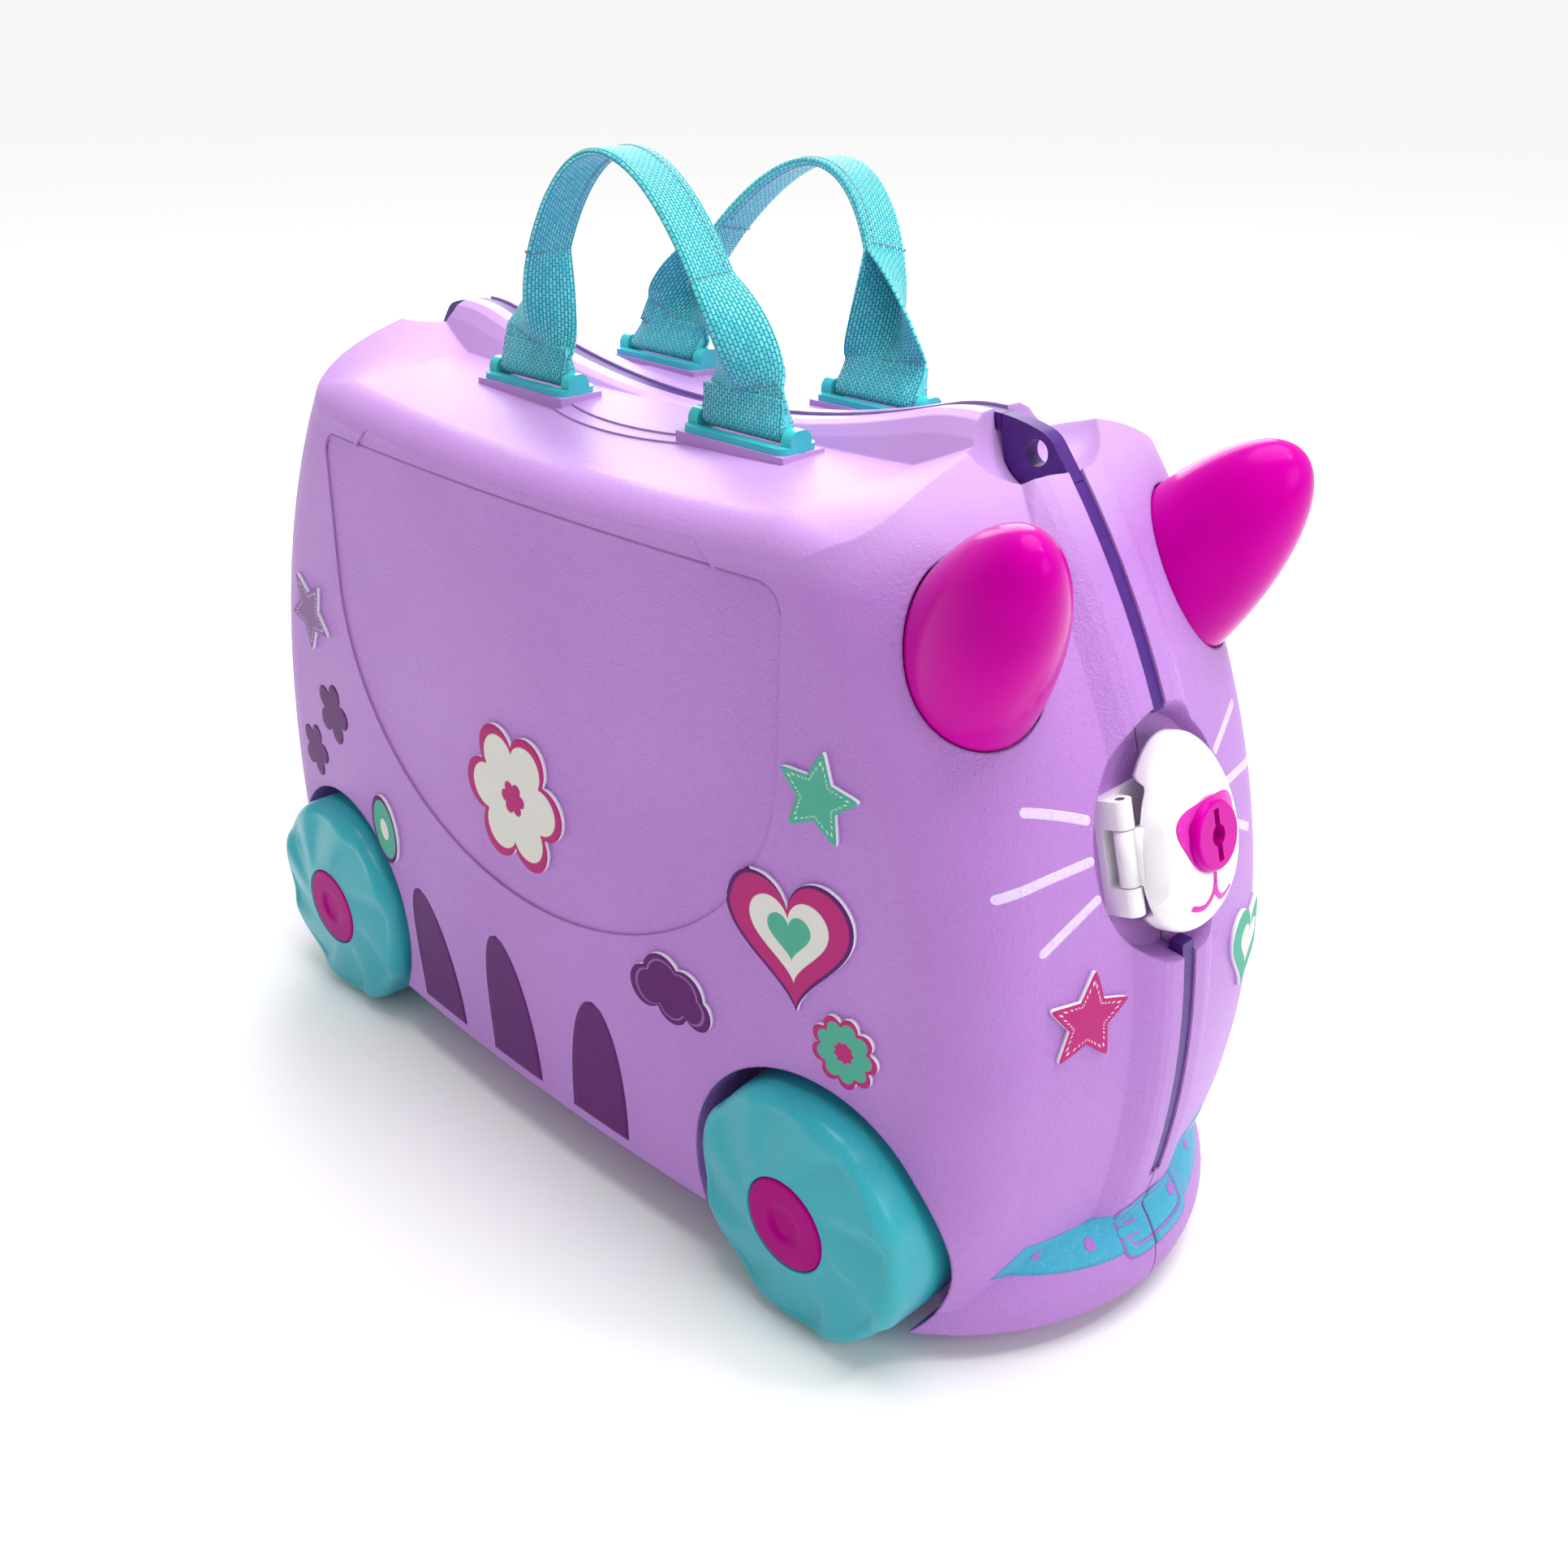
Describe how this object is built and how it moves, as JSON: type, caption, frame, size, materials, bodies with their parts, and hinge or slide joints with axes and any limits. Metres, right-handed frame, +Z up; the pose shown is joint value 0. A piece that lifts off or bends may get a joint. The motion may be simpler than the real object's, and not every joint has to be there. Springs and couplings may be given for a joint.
{
  "type": "ride-on suitcase",
  "caption": "Child's ride-on suitcase: hinged hollow shells on wheels, with horn grips, webbing carry handles, a seam seal, tow eyelets and hinged end clasps.",
  "frame": {"origin": "on the floor under the middle of the case, in the plane of its seam", "axes": "+X towards the end with the lock and the horn grips, +Y towards the left half, +Z up"},
  "size_m": [0.4596, 0.204, 0.3701],
  "materials": {
    "shell_plastic": "lilac moulded plastic with a fine leather grain",
    "magenta_plastic": "glossy magenta moulding",
    "wheel_plastic": "teal moulding with a satin face",
    "clasp_plastic": "glossy white moulding",
    "seal_rubber": "dark purple soft seal",
    "eyelet_plastic": "dark purple moulding",
    "webbing": "teal woven webbing",
    "anchor_plastic": "light teal moulding",
    "steel": "plain steel"
  },
  "bodies": {
    "right_half": {"right_shell": "shell_plastic", "hinge_pin": "steel", "right_horn": "magenta_plastic", "right_horn_screw": "steel", "right_front_anchor": "anchor_plastic", "front_right_axle": "steel", "front_right_axle_clip": "steel", "right_rear_anchor": "anchor_plastic", "rear_right_axle": "steel", "rear_right_axle_clip": "steel", "front_clasp_base": "clasp_plastic", "front_clasp_pin": "steel", "rear_clasp_keeper": "clasp_plastic"},
    "left_half": {"left_shell": "shell_plastic", "left_horn": "magenta_plastic", "left_horn_screw": "steel", "left_front_anchor": "anchor_plastic", "front_left_axle": "steel", "front_left_axle_clip": "steel", "left_rear_anchor": "anchor_plastic", "rear_left_axle": "steel", "rear_left_axle_clip": "steel", "seat_seal": "seal_rubber", "front_upper_seal": "seal_rubber", "front_lower_seal": "seal_rubber", "rear_upper_seal": "seal_rubber", "rear_lower_seal": "seal_rubber", "front_tow_eyelet": "eyelet_plastic", "rear_tow_eyelet": "eyelet_plastic", "front_clasp_keeper": "clasp_plastic", "rear_clasp_base": "clasp_plastic", "rear_clasp_pin": "steel"},
    "front_right_wheel": {"front_right_wheel": "wheel_plastic", "front_right_hub_cap": "magenta_plastic"},
    "rear_right_wheel": {"rear_right_wheel": "wheel_plastic", "rear_right_hub_cap": "magenta_plastic"},
    "right_handle": {"right_handle": "webbing"},
    "front_left_wheel": {"front_left_wheel": "wheel_plastic", "front_left_hub_cap": "magenta_plastic"},
    "rear_left_wheel": {"rear_left_wheel": "wheel_plastic", "rear_left_hub_cap": "magenta_plastic"},
    "left_handle": {"left_handle": "webbing"},
    "front_clasp": {"front_clasp_cover": "clasp_plastic", "front_clasp_tab": "clasp_plastic"},
    "rear_clasp": {"rear_clasp_cover": "clasp_plastic", "rear_clasp_tab": "clasp_plastic"},
    "front_lock": {"front_clasp_lock": "magenta_plastic"}
  },
  "joints": [
    {"name": "case_hinge", "type": "hinge", "parent": "right_half", "child": "left_half", "pos_m": [0, 0, 0.011], "axis": [-1, 0, 0], "range_deg": [0, 155]},
    {"name": "front_right_wheel_spin", "type": "hinge", "parent": "right_half", "child": "front_right_wheel", "pos_m": [0.144, -0.084, 0.0473], "axis": [0, 1, 0], "continuous": true},
    {"name": "rear_right_wheel_spin", "type": "hinge", "parent": "right_half", "child": "rear_right_wheel", "pos_m": [-0.144, -0.084, 0.0473], "axis": [0, 1, 0], "continuous": true},
    {"name": "front_left_wheel_spin", "type": "hinge", "parent": "left_half", "child": "front_left_wheel", "pos_m": [0.144, 0.084, 0.0473], "axis": [0, 1, 0], "continuous": true},
    {"name": "rear_left_wheel_spin", "type": "hinge", "parent": "left_half", "child": "rear_left_wheel", "pos_m": [-0.144, 0.084, 0.0473], "axis": [0, 1, 0], "continuous": true},
    {"name": "right_handle_swing", "type": "hinge", "parent": "right_half", "child": "right_handle", "pos_m": [0, -0.032, 0.2878], "axis": [1, 0, 0], "range_deg": [-12, 78]},
    {"name": "left_handle_swing", "type": "hinge", "parent": "left_half", "child": "left_handle", "pos_m": [0, 0.032, 0.2878], "axis": [-1, 0, 0], "range_deg": [-25, 65]},
    {"name": "front_clasp_swing", "type": "hinge", "parent": "right_half", "child": "front_clasp", "pos_m": [0.21021, -0.0225, 0.18271], "axis": [0.2576, 0, -0.9662], "range_deg": [0, 100]},
    {"name": "rear_clasp_swing", "type": "hinge", "parent": "left_half", "child": "rear_clasp", "pos_m": [-0.21021, 0.0225, 0.18271], "axis": [-0.2576, 0, -0.9662], "range_deg": [0, 100]},
    {"name": "front_lock_turn", "type": "hinge", "parent": "front_clasp", "child": "front_lock", "pos_m": [0.21118, 0.002, 0.18297], "axis": [0.9662, 0, 0.2576], "range_deg": [0, 90]}
  ]
}
